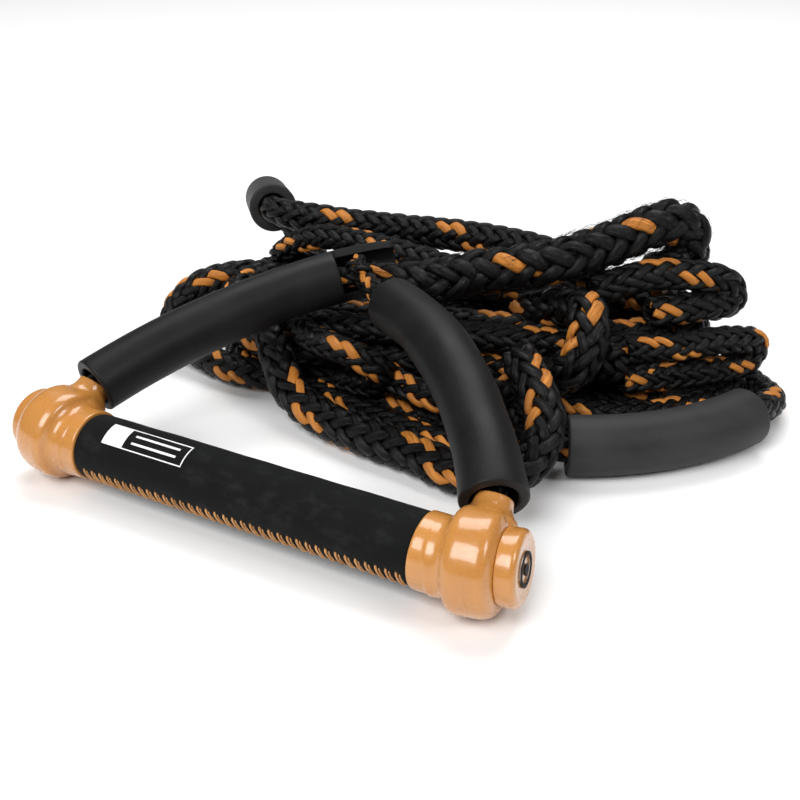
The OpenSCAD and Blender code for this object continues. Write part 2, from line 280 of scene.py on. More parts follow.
def yarn_material(name, dark, mid, light, rough, sheen, spec):
    """Filaments that run along a yarn: streaks in colour and bump, from the yarn's own coordinates."""
    m, tree, bsdf = new_material(name)
    across, along, pick = (attribute(tree, a) for a in ("across", "along", "pick"))
    vector = node(tree, "ShaderNodeCombineXYZ")
    tree.links.new(math_node(tree, "MULTIPLY", across, 46.0), vector.inputs[0])
    tree.links.new(math_node(tree, "MULTIPLY", along, 170.0), vector.inputs[1])
    tree.links.new(math_node(tree, "MULTIPLY", pick, 53.0), vector.inputs[2])
    fine = noise(tree, vector.outputs[0], 1.0, 3.0, 0.6)
    broad = noise(tree, vector.outputs[0], 0.22, 2.0, 0.5)
    streak = math_node(tree, "ADD", math_node(tree, "MULTIPLY", fine.outputs[0], 0.65),
                       math_node(tree, "MULTIPLY", broad.outputs[0], 0.35))
    colour = ramp(tree, streak, [(0.34, dark), (0.52, mid), (0.70, light)])
    tree.links.new(colour.outputs[0], bsdf.inputs["Base Color"])
    shine = ramp(tree, broad.outputs[0], [(0.3, grey(rough - 0.08)), (0.7, grey(rough + 0.10))])
    tree.links.new(shine.outputs[0], bsdf.inputs["Roughness"])
    bsdf.inputs["Specular IOR Level"].default_value = spec
    bsdf.inputs["Sheen Weight"].default_value = sheen
    bsdf.inputs["Sheen Roughness"].default_value = 0.4
    bump(tree, bsdf, streak, 0.75, 0.0007)
    return m


def foam_material(name, base, light, rough):
    m, tree, bsdf = new_material(name)
    place = node(tree, "ShaderNodeTexCoord").outputs["Object"]
    cells = node(tree, "ShaderNodeTexVoronoi")
    cells.inputs["Scale"].default_value = 1400.0
    tree.links.new(place, cells.inputs["Vector"])
    cloud = noise(tree, place, 45.0, 5.0)
    fine = noise(tree, place, 900.0, 3.0)
    colour = ramp(tree, cloud.outputs[0], [(0.32, base), (0.68, light)])
    tree.links.new(colour.outputs[0], bsdf.inputs["Base Color"])
    shine = ramp(tree, cloud.outputs[0], [(0.3, grey(rough)), (0.7, grey(rough + 0.1))])
    tree.links.new(shine.outputs[0], bsdf.inputs["Roughness"])
    bsdf.inputs["Specular IOR Level"].default_value = 0.22
    bsdf.inputs["Sheen Weight"].default_value = 0.01
    bsdf.inputs["Sheen Roughness"].default_value = 0.5
    first = bump(tree, None, cells.outputs["Distance"], 0.22, 0.0002)
    bump(tree, bsdf, fine.outputs[0], 0.25, 0.0003, first.outputs[0])
    return m


def cap_material():
    m, tree, bsdf = new_material("cap_plastic")
    place = node(tree, "ShaderNodeTexCoord").outputs["Object"]
    cloud = noise(tree, place, 32.0, 4.0)
    colour = ramp(tree, cloud.outputs[0], [(0.35, (0.46, 0.190, 0.038)), (0.65, (0.53, 0.228, 0.050))])
    tree.links.new(colour.outputs[0], bsdf.inputs["Base Color"])
    fine = noise(tree, place, 420.0, 3.0)
    shine = ramp(tree, fine.outputs[0], [(0.3, grey(0.24)), (0.7, grey(0.34))])
    tree.links.new(shine.outputs[0], bsdf.inputs["Roughness"])
    bsdf.inputs["Subsurface Weight"].default_value = 0.06
    bsdf.inputs["Subsurface Radius"].default_value = (0.006, 0.003, 0.001)
    bsdf.inputs["Subsurface Scale"].default_value = 1.0
    bsdf.inputs["Coat Weight"].default_value = 0.7
    bsdf.inputs["Coat Roughness"].default_value = 0.09
    bump(tree, bsdf, fine.outputs[0], 0.06, 0.0002)
    return m


def skin_material():
    m, tree, bsdf = new_material("grip_skin")
    place = node(tree, "ShaderNodeTexCoord").outputs["Object"]
    stretch = node(tree, "ShaderNodeMapping")
    stretch.inputs["Scale"].default_value = (0.6, 1.0, 1.0)
    tree.links.new(place, stretch.inputs["Vector"])
    blotch = noise(tree, stretch.outputs[0], 140.0, 6.0, 0.65)
    nap = noise(tree, place, 1500.0, 4.0, 0.7)
    scuff = noise(tree, stretch.outputs[0], 38.0, 5.0, 0.7)
    mix = math_node(tree, "ADD", math_node(tree, "MULTIPLY", blotch.outputs[0], 0.6),
                    math_node(tree, "MULTIPLY", scuff.outputs[0], 0.4))
    colour = ramp(tree, mix, [(0.36, (0.0022, 0.0024, 0.0026)), (0.52, (0.005, 0.0053, 0.0056)),
                              (0.68, (0.016, 0.0165, 0.017))])
    tree.links.new(colour.outputs[0], bsdf.inputs["Base Color"])
    shine = ramp(tree, mix, [(0.35, grey(0.62)), (0.65, grey(0.86))])
    tree.links.new(shine.outputs[0], bsdf.inputs["Roughness"])
    bsdf.inputs["Specular IOR Level"].default_value = 0.1
    bsdf.inputs["Sheen Weight"].default_value = 0.01
    bsdf.inputs["Sheen Roughness"].default_value = 0.55
    first = bump(tree, None, nap.outputs[0], 0.5, 0.0002)
    bump(tree, bsdf, mix, 0.35, 0.0006, first.outputs[0])
    return m


def print_material():
    m, tree, bsdf = new_material("badge_print")
    place = node(tree, "ShaderNodeTexCoord").outputs["Object"]
    worn = noise(tree, place, 1300.0, 4.0, 0.7)
    colour = ramp(tree, worn.outputs[0], [(0.25, (0.45, 0.45, 0.45)), (0.42, (0.86, 0.86, 0.85))])
    tree.links.new(colour.outputs[0], bsdf.inputs["Base Color"])
    bsdf.inputs["Roughness"].default_value = 0.6
    bump(tree, bsdf, worn.outputs[0], 0.25, 0.0002)
    return m


def plain_material(name, dark, light, rough, metallic=0.0, scale=300.0, strength=0.15):
    m, tree, bsdf = new_material(name)
    place = node(tree, "ShaderNodeTexCoord").outputs["Object"]
    grain = noise(tree, place, scale, 4.0)
    colour = ramp(tree, grain.outputs[0], [(0.3, dark), (0.7, light)])
    tree.links.new(colour.outputs[0], bsdf.inputs["Base Color"])
    shine = ramp(tree, grain.outputs[0], [(0.3, grey(rough)), (0.7, grey(rough + 0.08))])
    tree.links.new(shine.outputs[0], bsdf.inputs["Roughness"])
    bsdf.inputs["Metallic"].default_value = metallic
    bump(tree, bsdf, grain.outputs[0], strength, 0.0003)
    return m


BLACK = yarn_material("rope_black", (0.0006, 0.0006, 0.0007), (0.0016, 0.0016, 0.0017),
                      (0.008, 0.008, 0.0085), 0.33, 0.0, 0.2)
ORANGE = yarn_material("rope_orange", (0.26, 0.075, 0.008), (0.52, 0.185, 0.022), (0.74, 0.32, 0.06),
                       0.50, 0.04, 0.35)
THREAD = yarn_material("seam_thread", (0.30, 0.12, 0.03), (0.55, 0.26, 0.08), (0.75, 0.42, 0.16),
                       0.5, 0.1, 0.45)
FOAM = foam_material("sleeve_foam", (0.0035, 0.0035, 0.0038), (0.007, 0.007, 0.0074), 0.44)
FLOAT_FOAM = foam_material("float_foam", (0.018, 0.018, 0.0185), (0.027, 0.027, 0.0275), 0.50)
CAP = cap_material()
SKIN = skin_material()
PRINT = print_material()
INK = plain_material("emblem_ink", (0.003, 0.003, 0.0032), (0.006, 0.006, 0.0062), 0.6)
INK.node_tree.nodes["Principled BSDF"].inputs["Specular IOR Level"].default_value = 0.15
METAL = plain_material("bar_metal", (0.60, 0.60, 0.62), (0.74, 0.74, 0.76), 0.28, 1.0, 900.0, 0.1)
STEEL = plain_material("washer_steel", (0.42, 0.42, 0.43), (0.60, 0.60, 0.61), 0.32, 1.0, 700.0, 0.1)
CORE = plain_material("core_foam", (0.05, 0.05, 0.055), (0.10, 0.10, 0.11), 0.8, 0.0, 1200.0, 0.4)
# Painted shade: the needle-hole cups are coloured darker than the skin to stand for the shade inside each
# hole.
HOLE_PAINTED_SHADE = plain_material("needle_holes_painted_shade", (0.001, 0.001, 0.001), (0.003, 0.003, 0.003), 0.9)


# ---------------------------------------------------------------- braided rope
TAPER_TO = 0.72          # a tapered end's radius, as a share of the full one
OVERLAP = 1.10           # how far neighbouring carriers crowd each other
YARN_POWER = 0.85        # 1 is an oval yarn, less is squarer
CRIMP = 1.9              # how sharply a carrier goes from over to under
DIP = 0.42               # how deep it goes under, in thicknesses
DRIFT_STEP = 1.3         # a carrier wanders over this many radii
DRIFT_TURN, DRIFT_LIFT = 0.22, 0.05


def braid(name, path, radius, carriers=8, pitch=4.3, sides=8, tracer=(0, 1), thick=0.155, turn=0.0,
          loose=0.0, taper=(0.0, 0.0), fuzz=0.0):
    """A hollow braid swept along a path: two sets of carriers, each over two and under two.

    pitch and thick are in diameters. tracer lists the orange carriers, loose is how far carriers wander,
    taper is the length of each narrowed end, and fuzz is the number of loose fibres in a metre.
    """
    rng = np.random.default_rng(hash_name(name))
    t, u, v = frames(path)
    s = np.r_[0, np.cumsum(np.linalg.norm(np.diff(path, axis=0), axis=1))]
    r_out = np.interp(s, np.linspace(0, s[-1], len(np.atleast_1d(radius))), np.atleast_1d(radius)) \
        if np.ndim(radius) else np.full(len(s), float(radius))
    if taper[0]:
        r_out = r_out * (1 - (1 - TAPER_TO) * np.clip(1 - s / taper[0], 0, 1) ** 2)
    if taper[1]:
        r_out = r_out * (1 - (1 - TAPER_TO) * np.clip(1 - (s[-1] - s) / taper[1], 0, 1) ** 2)
    mean = float(np.mean(r_out))
    lay = pitch * 2 * mean
    th = thick * 2 * r_out
    k = 2 * math.pi / lay
    beta = math.atan(k * mean)
    width = 2 * math.pi * mean * (1 - 1.2 * thick) / carriers * math.cos(beta) * OVERLAP
    phi = np.linspace(0, 2 * math.pi, sides, endpoint=False) + math.pi / 2
    ca = np.sign(np.cos(phi)) * np.abs(np.cos(phi)) ** YARN_POWER
    sa = np.sign(np.sin(phi)) * np.abs(np.sin(phi)) ** YARN_POWER
    verts, faces, mats, across, along, pick = [], [], [], [], [], []
    rings, total = len(path), 0
    n = 2 * carriers * s / lay
    stops = max(int(s[-1] / (DRIFT_STEP * mean)), 3)
    for way in (1, -1):
        for c in range(carriers):
            start = 2 * math.pi * c / carriers + turn
            drift = loose * np.interp(s, np.linspace(0, s[-1], stops), rng.normal(0, 1, stops))
            a = start + way * k * s + drift * DRIFT_TURN
            phase = (2 * c + n - 0.5) if way == 1 else (2 * c - n - 2.5)
            h = np.tanh(CRIMP * np.cos(2 * math.pi * phase / 4)) / math.tanh(CRIMP)
            swell = 1 + 0.10 * rng.normal() * (loose > 0)
            rr = r_out - th * 0.5 - DIP * th * (1 - h) + DRIFT_LIFT * mean * drift
            out = np.cos(a)[:, None] * u + np.sin(a)[:, None] * v
            centre = path + rr[:, None] * out
            tang = tangents(centre)
            out = unit(out - np.sum(out * tang, axis=1)[:, None] * tang)
            side = np.cross(tang, out)
            w2 = 0.5 * width * (0.90 + 0.10 * h) * swell * (r_out / mean)
            t2 = 0.5 * th * (1.0 + 0.06 * h)
            x = w2[:, None] * ca[None, :]
            y = t2[:, None] * sa[None, :] - (x ** 2) * math.cos(beta) ** 2 / (2 * rr[:, None])
            ring = centre[:, None, :] + x[..., None] * side[:, None, :] + y[..., None] * out[:, None, :]
            verts.append(ring.reshape(-1, 3))
            quads = grid_faces(rings, sides, total)
            faces += quads.tolist() + end_faces(rings, sides, total)
            mats.append(np.full(len(quads) + 2, 1 if way == 1 and c in tracer else 0))
            across.append(np.tile(np.linspace(0, 1, sides, endpoint=False), rings))
            along.append(np.repeat(s / math.cos(beta), sides))
            pick.append(np.full(rings * sides, rng.random()))
            total += rings * sides
    if fuzz:
        hair, hair_faces = fibres(rng, path, (t, u, v), r_out, int(fuzz * s[-1]))
        faces += (hair_faces + total).tolist()
        verts.append(hair)
        mats.append(np.zeros(len(hair_faces)))
        for layer in (across, along, pick):
            layer.append(rng.random(len(hair)))
    return make_mesh(name, np.vstack(verts), faces, [BLACK, ORANGE], np.concatenate(mats),
                     {"across": np.concatenate(across), "along": np.concatenate(along),
                      "pick": np.concatenate(pick)})


FIBRE_R = 0.09 * MM
FIBRE_POINTS, FIBRE_SIDES = 5, 3


def fibres(rng, path, axes, r_out, count):
    """Loose fibres that lift off a rope's surface, each a fine three-sided tube."""
    t, u, v = axes
    at = rng.integers(2, len(path) - 2, count)
    angle = rng.uniform(0, 2 * math.pi, count)
    reach = rng.uniform(2.0, 6.0, count) * MM
    lift = rng.uniform(0.3, 1.9, count) * MM
    way = rng.choice([-1.0, 1.0], count)
    curl = rng.normal(0, 0.16, count)
    points = []
    for w in np.linspace(0, 1, FIBRE_POINTS):
        a = angle + curl * w
        out = np.cos(a)[:, None] * u[at] + np.sin(a)[:, None] * v[at]
        radius = r_out[at] * 0.95 + lift * math.sin(2.4 * w)
        points.append(path[at] + radius[:, None] * out + (way * reach * w)[:, None] * t[at])
    points = np.stack(points, axis=1)
    rings = []
    for k in range(FIBRE_SIDES):
        a = 2 * math.pi * k / FIBRE_SIDES
        rings.append(points + FIBRE_R * (math.cos(a) * u[at] + math.sin(a) * v[at])[:, None, :])
    hair = np.stack(rings, axis=2).reshape(-1, 3)
    quads = grid_faces(FIBRE_POINTS, FIBRE_SIDES)
    starts = np.arange(count)[:, None, None] * FIBRE_POINTS * FIBRE_SIDES
    return hair, (quads[None] + starts).reshape(-1, 4)


def hash_name(name):
    """A seed that is the same each run."""
    value = 17
    for letter in name:
        value = (value * 31 + ord(letter)) % 1000003
    return value


def cord(name, path, diameter, nodes, lay="loose", crossing=None, **look):
    """A free cord of that braid, standing for its CAD nodes.

    crossing, when given, leaves the cord off the rope body, with its placement baked in.
    """
    radius = look.pop("radius", diameter / 2)
    look.setdefault("loose", 0.3)
    obj = braid(name, path, radius, **look)
    if crossing is None:
        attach(obj, "rope")
    else:
        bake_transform(obj)
    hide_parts(*nodes)


STEP = 1.5 * MM

# The same routes as the CAD solids, in millimetres above the floor
ROUTES = {
    "grip_rope": [(12, 158, 74), (28, 170, 77), (48, 180, 80), (69, 190, 85), (80, 202, 88), (92, 214, 92),
                  (103, 227, 97), (115, 239, 100), (121.3, 246.6, 95.9), (124, 249.8, 86),
                  (121.3, 246.6, 76.1), (115, 239, 72), (108, 231, 70)],
    "top_run": [(-136.3, 221, 74.5), (-120, 222, 73), (-98, 228, 71), (-54, 234, 71), (-17, 235, 73),
                (31, 230, 75), (68, 222, 72), (82, 226, 60), (88, 232, 48)],
    "front_run": [(-92, 140, 34), (-74, 126, 34), (-60, 112, 28), (-46, 102, 18), (-22, 94, 12), (10, 88, 11),
                  (42, 84, 11), (68, 78, 11), (88, 80, 13), (100, 90, 21), (100, 106, 32), (88, 122, 42),
                  (72, 138, 50)],
    "left_loop": [(-106, 198, 38), (-123, 188, 44), (-139, 172, 45), (-151, 155, 41), (-156, 139, 29),
                  (-146, 130, 17), (-127, 127, 11), (-104, 123, 10), (-84, 124, 10), (-66, 130, 11)],
    "inner_loop": [(-62, 134, 42), (-40, 118, 44), (-14, 114, 42), (2, 120, 33), (-6, 126, 21),
                   (-32, 132, 16)],
    "right_loop": [(88, 200, 68), (112, 216, 76), (134, 234, 74), (149, 246, 67), (151, 247, 59),
                   (137, 230, 58), (116, 211, 57)],
    "back_run": [(-124, 206, 50), (-108, 204, 62), (-88, 202, 70), (-60, 204, 70), (-30, 206, 67),
                 (0, 208, 62), (30, 210, 55)],
    "inner_fill": [(-58, 152, 10), (-66, 138, 9), (-52, 126, 9), (-22, 116, 9), (12, 109, 9), (44, 104, 9),
                   (70, 105, 9), (81, 118, 9), (66, 130, 10), (36, 126, 9), (6, 129, 9), (-22, 136, 9),
                   (-40, 150, 12)],
    "under_run": [(-46, 152, 28), (-20, 136, 27), (10, 124, 26), (38, 118, 26), (60, 122, 29), (72, 138, 36)],
    "fold_loop": [(48, 200, 48), (64, 194, 56), (77, 189, 61), (88, 183, 64), (95, 172, 64), (99, 162, 55),
                  (97, 156, 44), (87, 160, 34), (72, 168, 27), (54, 178, 25)],
    "low_run": [(62, 164, 18), (98, 168, 12), (126, 184, 9), (149, 212, 9), (160, 240, 9), (142, 256, 10)],
    "float_lead": [(97, 115, 15.5), (86, 113, 11), (86, 126, 9), (74, 142, 9), (56, 160, 11)],
    "float_tail": [(181, 208, 15.5), (184, 228, 12), (174, 248, 9), (156, 260, 9), (134, 262, 10)],
    "tow_eye": [(112, 188, 43), (134, 206, 42), (155, 227, 43), (168, 244, 37), (166, 243, 27),
                (148, 218, 26), (113, 184, 27)],
    "rear_run": [(-195.6, 293, 57), (-199, 305, 48), (-193, 315, 32), (-172, 314, 14), (-146, 296, 10),
                 (-120, 272, 10), (-92, 248, 14)],
}
NECK_MOUTH = np.array([0.110621, 0.022905, 0.017381])
NECK_DIR = unit(np.array([-0.12, 0.79, 0.6]))
MIRROR = np.array([-1.0, 1.0, 1.0])
LEFT_ARC = [NECK_MOUTH * MIRROR, (-0.083, 0.084, 0.035), (-0.038, 0.140, 0.051)]
RIGHT_ARC = [NECK_MOUTH, (0.0704, 0.0735, 0.0395), (0.004, 0.126, 0.048)]
FLOAT_R = 15.5 * MM
FRONT_ARC = [(x, y, FLOOR + FLOAT_R) for x, y in ((0.106, 0.122), (0.147, 0.151), (0.177, 0.197))]
REAR_FROM, REAR_TO = on_floor([(-144, 230, 72.5), (-188, 284, 59.5)])


def route(name, step=STEP):
    return smooth_path(on_floor(ROUTES[name]), step)


lead = np.vstack([[(-0.022, 0.1485, 0.0535), (-0.012, 0.152, 0.0530)], on_floor(ROUTES["grip_rope"])])
lead = smooth_path(lead, STEP)
girth = np.interp(np.arange(len(lead)) * STEP, [0, 0.012, 0.036, 1.0], [6.0, 7.0, 12.5, 12.5]) * MM
cord("thick_rope", lead, 0.025, ["grip_rope"], radius=girth, carriers=6, pitch=3.1, thick=0.17, sides=12,
     tracer=(0,), loose=0.6, turn=0.6, fuzz=9000)
cord("front_strand", route("front_run"), 0.021, ["front_run"], turn=1.1)
cord("left_strand", route("left_loop"), 0.018, ["left_loop"], turn=0.4)
cord("inner_strand", route("inner_loop"), 0.016, ["inner_loop"], turn=2.0)
cord("right_strand", route("right_loop"), 0.018, ["right_loop"], turn=2.9)
for label in ("back_run", "inner_fill", "under_run"):
    cord(label + "_strand", route(label), 0.016, [label], turn=len(label) * 0.7)
cord("folded_strand", route("fold_loop"), 0.022, ["fold_loop"], turn=0.9, loose=0.5, pitch=3.6, fuzz=4000)
cord("low_strand", route("low_run"), 0.016, ["low_run"], turn=4.0)
cord("eye_strand", route("tow_eye"), 0.016, ["tow_eye"], turn=5.0)

front = np.vstack([route("float_lead")[::-1], arc_path(FRONT_ARC, 0.010, 0.010, STEP),
                   route("float_tail")[2:]])
front = smooth_path(resample(front, 6 * MM), STEP)
cord("float_strand", front, 0.017, ["float_lead", "float_core_front", "float_tail"], turn=0.7)
rear = np.vstack([on_floor(ROUTES["top_run"])[::-1], REAR_FROM, (REAR_FROM + REAR_TO) / 2, REAR_TO,
                  on_floor(ROUTES["rear_run"])])
rear = smooth_path(rear, STEP)
# The strand is thinner where it enters the rear float and beyond, with an eased change
float_at = np.linalg.norm(rear - REAR_FROM, axis=1).argmin()
EASE = 8
wide = np.where(np.arange(len(rear)) < float_at - 14, 10.0, 8.6) * MM
wide = np.convolve(np.pad(wide, EASE, mode="edge"), np.ones(2 * EASE + 1) / (2 * EASE + 1), mode="valid")
cord("long_strand", rear, 0.019, ["top_run", "float_core_rear", "rear_run"], radius=wide, turn=1.7)


# ---------------------------------------------------------------- wound rope in the middle
HANK_HALF = 0.090
HANK_RADII = (46.0 * MM, 28.5 * MM)
HANK_LAYER = 17.0 * MM
HANK_CENTRE = (0.005, 0.205)
HANK_ANGLE = math.radians(17)
TURN_POINTS = 40         # in each turn, of which the last ones lead over to the next turn
LEAD_OVER = 10
WAVE_EVERY = 6


def hank_path():
    """Three layers of two racetrack turns each, wound in, out and in again, loosely laid."""
    turns = []
    for layer in range(3):
        z = FLOOR + 9.0 * MM + layer * HANK_LAYER
        for r in HANK_RADII if layer % 2 == 0 else HANK_RADII[::-1]:
            turn = []
            for a in np.linspace(0, 2 * math.pi, TURN_POINTS, endpoint=False):
                x = r * math.cos(a) + (HANK_HALF if math.cos(a) > 0 else -HANK_HALF)
                if abs(math.cos(a)) < 1e-9:
                    x = 0.0
                turn.append((x, r * math.sin(a), z))
            turns.append(np.array(turn))
    w = np.maximum(0.0, (np.arange(TURN_POINTS) - (TURN_POINTS - LEAD_OVER)) / LEAD_OVER)[:, None]
    points = np.vstack([turn * (1 - w) + after * w for turn, after in zip(turns, turns[1:] + turns[-1:])])
    wave = RNG.normal(0, 1, (len(points) // WAVE_EVERY + 2, 3)) * np.array([3.0, 2.2, 0.6]) * MM
    at = np.arange(len(points)) / WAVE_EVERY
    for axis in range(3):
        points[:, axis] += np.interp(at, np.arange(len(wave)), wave[:, axis])
    points[:, 2] = np.clip(points[:, 2], FLOOR + 9.2 * MM, FLOOR + 44 * MM)
    x = points[:, 0] * math.cos(HANK_ANGLE) - points[:, 1] * math.sin(HANK_ANGLE)
    y = points[:, 0] * math.sin(HANK_ANGLE) + points[:, 1] * math.cos(HANK_ANGLE)
    return np.stack([x + HANK_CENTRE[0], y + HANK_CENTRE[1], points[:, 2]], axis=1)


HANK = smooth_path(hank_path()[::2], 3.0 * MM)
cord("wound_rope", HANK, 0.0175, ["rope_hank"], lay="coiled", sides=6, turn=0.2)


# ---------------------------------------------------------------- bridle legs
LEG_END = np.array([-0.0265, 0.146, 0.0525])


def leg(side, arc, reach):
    """One leg, from inside the neck along its sleeve to the yoke."""
    neck_dir = NECK_DIR * (1 if side == "right" else MIRROR)
    mouth = arc[0]
    body = arc_path(arc, -0.004, reach, STEP)
    path = smooth_path(np.vstack([mouth - 0.012 * neck_dir, mouth - 0.006 * neck_dir, mouth,
                                  body[2:-8:6], LEG_END]), STEP)
    cord(f"bridle_leg_{side}_rope", path, 0.012, [f"bridle_leg_{side}"], turn=1.0, loose=0.0,
         crossing=(mouth - 0.004 * neck_dir, mouth + 0.012 * neck_dir))


for side, arc, reach in (("left", LEFT_ARC, 0.008), ("right", RIGHT_ARC, 0.024)):
    leg(side, arc, reach)


# ---------------------------------------------------------------- foam tubes
FOAM_EDGE = 1.2 * MM     # the rounding of every rim
SLEEVE_R, SLEEVE_BORE = 14.5 * MM, 10.0 * MM
FLOAT_BORE = 9.3 * MM


def foam_tube(name, path, outer, inner, node_name, material, cuts=None, waves=()):
    """A foam tube along a path, riding on the body of its CAD node's name.

    cuts gives each end's trim round the tube. waves are dents and swellings, each
    (place, width, depth, angle, spread).
    """
    sides, edge = 96, FOAM_EDGE
    t, u, v = frames(path)
    s = np.r_[0, np.cumsum(np.linalg.norm(np.diff(path, axis=0), axis=1))]
    total = s[-1]
    around = np.linspace(0, 2 * math.pi, sides, endpoint=False)
    rings = max(int(total / (1.6 * MM)), 20)
    share = np.linspace(0, 1, rings)
    start = np.zeros(sides)
    end = np.full(sides, total)
    if cuts:
        start, end = cuts(path, t, u, v, s, around)

    def at(along, radius, angle):
        p = np.stack([np.interp(along, s, path[:, k]) for k in range(3)], axis=-1)
        uu = unit(np.stack([np.interp(along, s, u[:, k]) for k in range(3)], axis=-1))
        vv = unit(np.stack([np.interp(along, s, v[:, k]) for k in range(3)], axis=-1))
        return p + radius[..., None] * (np.cos(angle)[..., None] * uu + np.sin(angle)[..., None] * vv)

    def swell(along, angle):
        change = np.zeros_like(along)
        for place, width, depth, centre, spread in waves:
            gap = (angle - centre + math.pi) % (2 * math.pi) - math.pi
            change += depth * np.exp(-((along - place) / width) ** 2) * np.exp(-(gap / spread) ** 2)
        return change

    # Rows of (place, radius, share of the waves), from inside the first rim round to the bore
    corner = np.linspace(0, math.pi / 2, 6)
    span = end - start - 2 * edge
    rows = [(start + edge * (1 - np.sin(a)), inner + edge * (1 - np.cos(a)), 0.5) for a in corner]
    rows += [(start + edge * (1 - np.cos(a)), outer - edge * (1 - np.sin(a)), 1.0) for a in corner]
    rows += [(start + edge + w * span, outer, 1.0) for w in share[1:-1]]
    rows += [(end - edge * (1 - np.sin(a)), outer - edge * (1 - np.cos(a)), 1.0) for a in corner]
    rows += [(end - edge * (1 - np.cos(a)), inner + edge * (1 - np.sin(a)), 0.5) for a in corner]
    rows += [(start + edge + w * span, inner, 0.5) for w in share[::-1][1:-1][::3]]
    verts = [at(along, radius + swell(along, around) * part, around) for along, radius, part in rows]
    faces = loop_faces(len(rows), sides)[:, ::-1].copy()
    obj = make_mesh(name, np.vstack(verts), faces, [material])
    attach(obj, node_name)
    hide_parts(node_name)


SCOOP_SIDE = np.array([0.432, -0.779, 0.454])
TONGUE_FROM, TONGUE_EASE = 0.28, 0.3


def scoop(depth, toward):
    """The far end is cut back on the side that faces toward, which leaves a tongue on the other side."""
    def cuts(path, t, u, v, s, around):
        d = toward - toward @ t[-1] * t[-1]
        centre = math.atan2(d @ v[-1], d @ u[-1])
        near = np.clip(((1 + np.cos(around - centre)) / 2 - TONGUE_FROM) / TONGUE_EASE, 0, 1)
        return np.zeros(len(around)), s[-1] - depth * near * near * (3 - 2 * near)
    return cuts


TONGUE = 0.034           # the left sleeve's tongue reaches this far past its cut
foam_tube("sleeve_left_foam", arc_path(LEFT_ARC, 0, TONGUE, 2 * MM), SLEEVE_R, SLEEVE_BORE, "sleeve_left",
          FOAM, cuts=scoop(TONGUE, SCOOP_SIDE),
          waves=[(0.05, 0.02, 0.0004, 1.0, 1.5), (0.11, 0.015, -0.0005, 2.0, 1.2)])
foam_tube("sleeve_right_foam", arc_path(RIGHT_ARC, 0, 0, 2 * MM), SLEEVE_R, SLEEVE_BORE, "sleeve_right",
          FOAM,
          waves=[(0.0, 0.012, 0.0007, 0.0, 100.0), (0.045, 0.012, -0.0009, 0.5, 1.0),
                 (0.075, 0.014, -0.0008, 2.6, 1.1), (0.12, 0.01, -0.0009, 4.2, 1.2),
                 (0.10, 0.02, 0.0007, 1.2, 1.3)])
foam_tube("float_front_foam", arc_path(FRONT_ARC, 0, 0, 2 * MM), FLOAT_R, FLOAT_BORE, "float_front",
          FLOAT_FOAM, waves=[(0.05, 0.03, -0.0005, 1.5, 1.5)])
foam_tube("float_rear_foam", resample([REAR_FROM, REAR_TO], 2 * MM), FLOAT_R, FLOAT_BORE, "float_rear",
          FLOAT_FOAM)


# ---------------------------------------------------------------- caps
BEND = math.radians(8)
COLLAR_R = 17.0 * MM
LEAN = np.array([0.0, 0.8, 0.6])
AXIS = math.cos(BEND) * np.array([1.0, 0, 0]) + math.sin(BEND) * LEAN
BEND_AT = np.array([0.100, 0, 0])
BULB = BEND_AT + 0.014 * AXIS


def lathe(profile, origin, axis, sides=96):
    """(verts, faces) of a profile of (radius, along) in metres turned about an axis. Closed at both ends."""
    axis = unit(axis)
    side = unit(np.cross([0, 0, 1.0], axis)) if abs(axis[2]) < 0.9 else unit(np.cross([1.0, 0, 0], axis))
    other = np.cross(axis, side)
    a = np.linspace(0, 2 * math.pi, sides, endpoint=False)
    spokes = np.cos(a)[:, None] * side + np.sin(a)[:, None] * other
    verts = np.vstack([origin + axis * z + r * spokes for r, z in profile])
    return verts, grid_faces(len(profile), sides).tolist() + end_faces(len(profile), sides)


def curve(points, count):
    """A smooth profile through (radius, along) points in millimetres."""
    p = smooth_path(np.array([(r, z, 0) for r, z in points], float), 0.4)
    length = np.linalg.norm(np.diff(p, axis=0), axis=1).sum()
    return [(r * MM, z * MM) for r, z, _ in resample(p, max(length / count, 0.05))]


def apply_modifiers(obj):
    """Give the object the mesh that its modifiers make."""
    bpy.context.view_layer.update()
    depsgraph = bpy.context.evaluated_depsgraph_get()
    mesh = bpy.data.meshes.new_from_object(obj.evaluated_get(depsgraph))
    old = obj.data
    obj.modifiers.clear()
    obj.data = mesh
    bpy.data.meshes.remove(old)


def cap_mesh():
    """One cap, for the right end: collar, bulb and neck, melted together."""
    collar = [(COLLAR_R, -0.010), (COLLAR_R, 0.002)]
    bulb = curve([(15.0, -4), (17.0, -3.9), (17.1, 0.5), (17.6, 2.4), (19.0, 4.0), (21.4, 5.6), (22.5, 8.2),
                  (22.7, 12), (22.7, 17), (22.3, 20.2), (21.0, 22.8), (18.6, 24.4), (16.8, 25.2),
                  (13.0, 25.5)], 90)
    neck = curve([(13.0, 6), (14.0, 14), (13.0, 17.6), (10.9, 20.2), (9.4, 22.4), (8.7, 24.6), (8.5, 26.4),
                  (8.4, 28.0)], 50)
    parts = [lathe(collar, BEND_AT, np.array([1.0, 0, 0])), lathe(bulb, BEND_AT, AXIS),
             lathe(neck, BULB, NECK_DIR, 64)]
    verts, faces, base = [], [], 0
    for v, f in parts:
        verts.append(v)
        faces += [[i + base for i in face] for face in f]
        base += len(v)
    obj = make_mesh("cap_right_shell", np.vstack(verts), faces, [CAP])
    m = obj.modifiers.new("melt", "REMESH")
    m.mode = "VOXEL"
    m.voxel_size = 0.42 * MM
    m.use_smooth_shade = True
    sm = obj.modifiers.new("ease", "SMOOTH")
    sm.factor = 0.5
    sm.iterations = 10
    apply_modifiers(obj)
    return obj


PLUG_R, PLUG_FROM, PLUG_TO = 16.3, 25.4, 34.0
PLUG_EDGE, PLUG_LOW, PLUG_HOLLOW = 3.0, 0.5, 0.5


